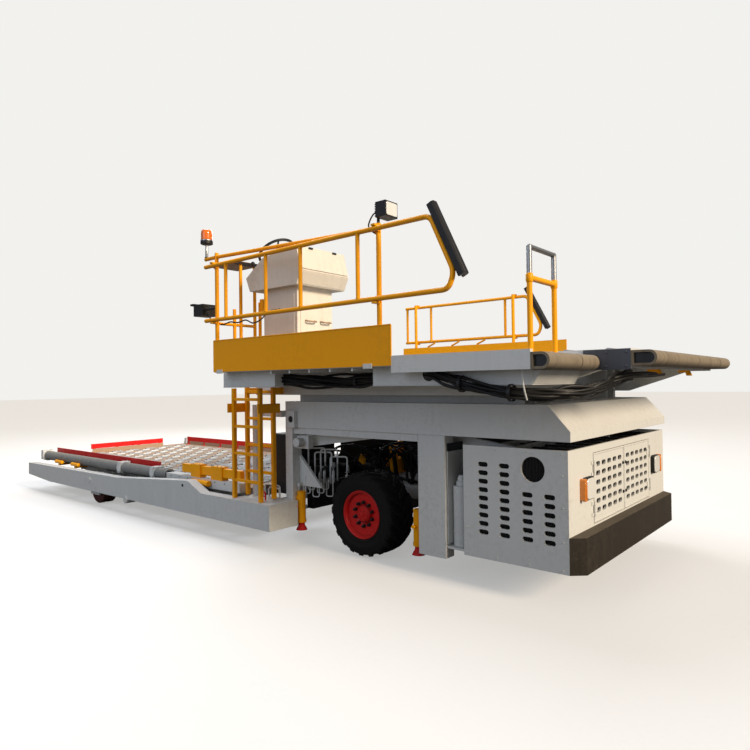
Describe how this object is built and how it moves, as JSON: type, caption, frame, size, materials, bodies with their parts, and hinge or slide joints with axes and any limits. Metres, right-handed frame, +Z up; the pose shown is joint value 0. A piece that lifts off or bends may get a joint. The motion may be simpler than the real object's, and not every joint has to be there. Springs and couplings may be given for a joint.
{
  "type": "aircraft cargo loader",
  "caption": "Self-propelled aircraft cargo loader: low scissor-lifted roller platform behind a wheeled portal, and a scissor-lifted bridge with a railed operator platform.",
  "frame": {"origin": "centre of the overall box on the ground", "axes": "+X forward towards the bridge and engine end, +Y to the vehicle's left, +Z up"},
  "size_m": [9.9498, 3.8006, 3.31],
  "materials": {
    "white_paint": "weathered gloss paint",
    "yellow_paint": "gloss paint",
    "red_paint": "gloss paint",
    "black_paint": "satin paint",
    "tan_paint": "worn paint",
    "console_paint": "satin paint",
    "bare_steel": "worn",
    "engine_iron": "as cast",
    "bumper_rubber": "matte",
    "hose_rubber": "satin",
    "tyre_rubber": "matte",
    "solid_tyre": "matte",
    "black_plastic": "matte",
    "lamp_lens": "gloss",
    "beacon_lens": "gloss"
  },
  "bodies": {
    "chassis": {"side_frame_r": "white_paint", "side_frame_l": "white_paint", "belly_frame": "white_paint", "gantry_beam_r": "white_paint", "gantry_beam_l": "white_paint", "gantry_posts": "white_paint", "front_rails": "white_paint", "front_axle": "black_paint", "hood": "white_paint", "engine_sides": "white_paint", "engine_front": "white_paint", "engine_block": "engine_iron", "front_bumper": "bumper_rubber", "headlamps": "lamp_lens", "jack_sleeves": "yellow_paint", "ladder_lower": "yellow_paint", "hydraulics": "black_paint", "reservoirs": "white_paint"},
    "jacks_rear": {"jack_feet_rear": "red_paint"},
    "jacks_front": {"jack_feet_front": "red_paint"},
    "knuckle_right": {"knuckle_r": "black_paint"},
    "knuckle_left": {"knuckle_l": "black_paint"},
    "front_wheel_right": {"front_tyre_r": "tyre_rubber", "front_rim_r": "red_paint"},
    "front_wheel_left": {"front_tyre_l": "tyre_rubber", "front_rim_l": "red_paint"},
    "rear_wheel_right": {"rear_wheels_r": "solid_tyre"},
    "rear_wheel_left": {"rear_wheels_l": "solid_tyre"},
    "lift_outer": {"lift_arms_outer": "white_paint"},
    "lift_inner": {"lift_arms_inner": "white_paint"},
    "platform": {"platform_plate": "tan_paint", "platform_deck": "white_paint", "platform_rollers": "bare_steel", "platform_guides": "red_paint", "platform_tubes": "bumper_rubber", "platform_drives": "yellow_paint"},
    "bridge_outer": {"bridge_arms_outer": "white_paint"},
    "bridge_inner": {"bridge_arms_inner": "white_paint"},
    "bridge": {"bridge_plate": "tan_paint", "bridge_frame": "white_paint", "bridge_rollers": "bare_steel", "bridge_bumpers": "bumper_rubber", "operator_floor": "white_paint", "toe_boards": "yellow_paint", "guard_rails": "yellow_paint", "front_gate": "yellow_paint", "gate_hoop": "bare_steel", "console": "console_paint", "steering_wheel": "black_plastic", "work_lamps": "black_plastic", "beacon": "beacon_lens", "ladder_upper": "yellow_paint", "hose_bundles": "hose_rubber"},
    "rail_right": {"rail_loop_r": "yellow_paint", "rail_pad_r": "black_plastic"},
    "rail_left": {"rail_loop_l": "yellow_paint", "rail_pad_l": "black_plastic"},
    "door_right": {"engine_door_r": "white_paint"},
    "door_left": {"engine_door_l": "white_paint"}
  },
  "joints": [
    {"name": "main_lift", "type": "hinge", "parent": "chassis", "child": "lift_outer", "pos_m": [0.4, 0.25, 0.235], "axis": [0, 1, 0], "range_deg": [0, 40]},
    {"name": "main_fold", "type": "hinge", "parent": "lift_outer", "child": "lift_inner", "pos_m": [-1.89874, 0.25, 0.31126], "axis": [0, 1, 0], "range_deg": [-80, 0]},
    {"name": "main_level", "type": "hinge", "parent": "lift_inner", "child": "platform", "pos_m": [0.4, 0.25, 0.38751], "axis": [0, 1, 0], "range_deg": [0, 40]},
    {"name": "bridge_lift", "type": "hinge", "parent": "chassis", "child": "bridge_outer", "pos_m": [1.35, 0.25, 1.1], "axis": [0, -1, 0], "range_deg": [0, 40]},
    {"name": "bridge_fold", "type": "hinge", "parent": "bridge_outer", "child": "bridge_inner", "pos_m": [2.58784, 0.25, 1.27397], "axis": [0, -1, 0], "range_deg": [-80, 0]},
    {"name": "bridge_level", "type": "hinge", "parent": "bridge_inner", "child": "bridge", "pos_m": [1.35, 0.25, 1.44793], "axis": [0, -1, 0], "range_deg": [0, 40]},
    {"name": "steer_right", "type": "hinge", "parent": "chassis", "child": "knuckle_right", "pos_m": [2.165, -0.485, 0.42], "axis": [0, 0, 1], "range_deg": [-30, 30]},
    {"name": "steer_left", "type": "hinge", "parent": "chassis", "child": "knuckle_left", "pos_m": [2.165, 0.985, 0.42], "axis": [0, 0, 1], "range_deg": [-30, 30]},
    {"name": "front_wheel_right_spin", "type": "hinge", "parent": "knuckle_right", "child": "front_wheel_right", "pos_m": [2.165, -0.755, 0.42], "axis": [0, 1, 0], "continuous": true},
    {"name": "front_wheel_left_spin", "type": "hinge", "parent": "knuckle_left", "child": "front_wheel_left", "pos_m": [2.165, 1.255, 0.42], "axis": [0, 1, 0], "continuous": true},
    {"name": "rear_wheel_right_spin", "type": "hinge", "parent": "chassis", "child": "rear_wheel_right", "pos_m": [-2.8, -1.125, 0.2], "axis": [0, 1, 0], "continuous": true},
    {"name": "rear_wheel_left_spin", "type": "hinge", "parent": "chassis", "child": "rear_wheel_left", "pos_m": [-2.8, 1.625, 0.2], "axis": [0, 1, 0], "continuous": true},
    {"name": "jacks_rear_drop", "type": "slide", "parent": "chassis", "child": "jacks_rear", "axis": [0, 0, -1], "range_m": [0, 0.15]},
    {"name": "jacks_front_drop", "type": "slide", "parent": "chassis", "child": "jacks_front", "axis": [0, 0, -1], "range_m": [0, 0.15]},
    {"name": "rail_right_slide", "type": "slide", "parent": "bridge", "child": "rail_right", "axis": [-1, 0, 0], "range_m": [0, 0.35]},
    {"name": "rail_left_slide", "type": "slide", "parent": "bridge", "child": "rail_left", "axis": [1, 0, 0], "range_m": [0, 0.2]},
    {"name": "door_right_hinge", "type": "hinge", "parent": "chassis", "child": "door_right", "pos_m": [4.34, -0.4975, 0.845], "axis": [0, 0, -1], "range_deg": [0, 100]},
    {"name": "door_left_hinge", "type": "hinge", "parent": "chassis", "child": "door_left", "pos_m": [4.34, 0.9975, 0.845], "axis": [0, 0, 1], "range_deg": [0, 100]}
  ],
  "couplings": [
    {"joint": "main_fold", "follows": "main_lift", "ratio": -2},
    {"joint": "main_level", "follows": "main_lift", "ratio": 1},
    {"joint": "bridge_fold", "follows": "bridge_lift", "ratio": -2},
    {"joint": "bridge_level", "follows": "bridge_lift", "ratio": 1},
    {"joint": "steer_left", "follows": "steer_right", "ratio": 1}
  ]
}
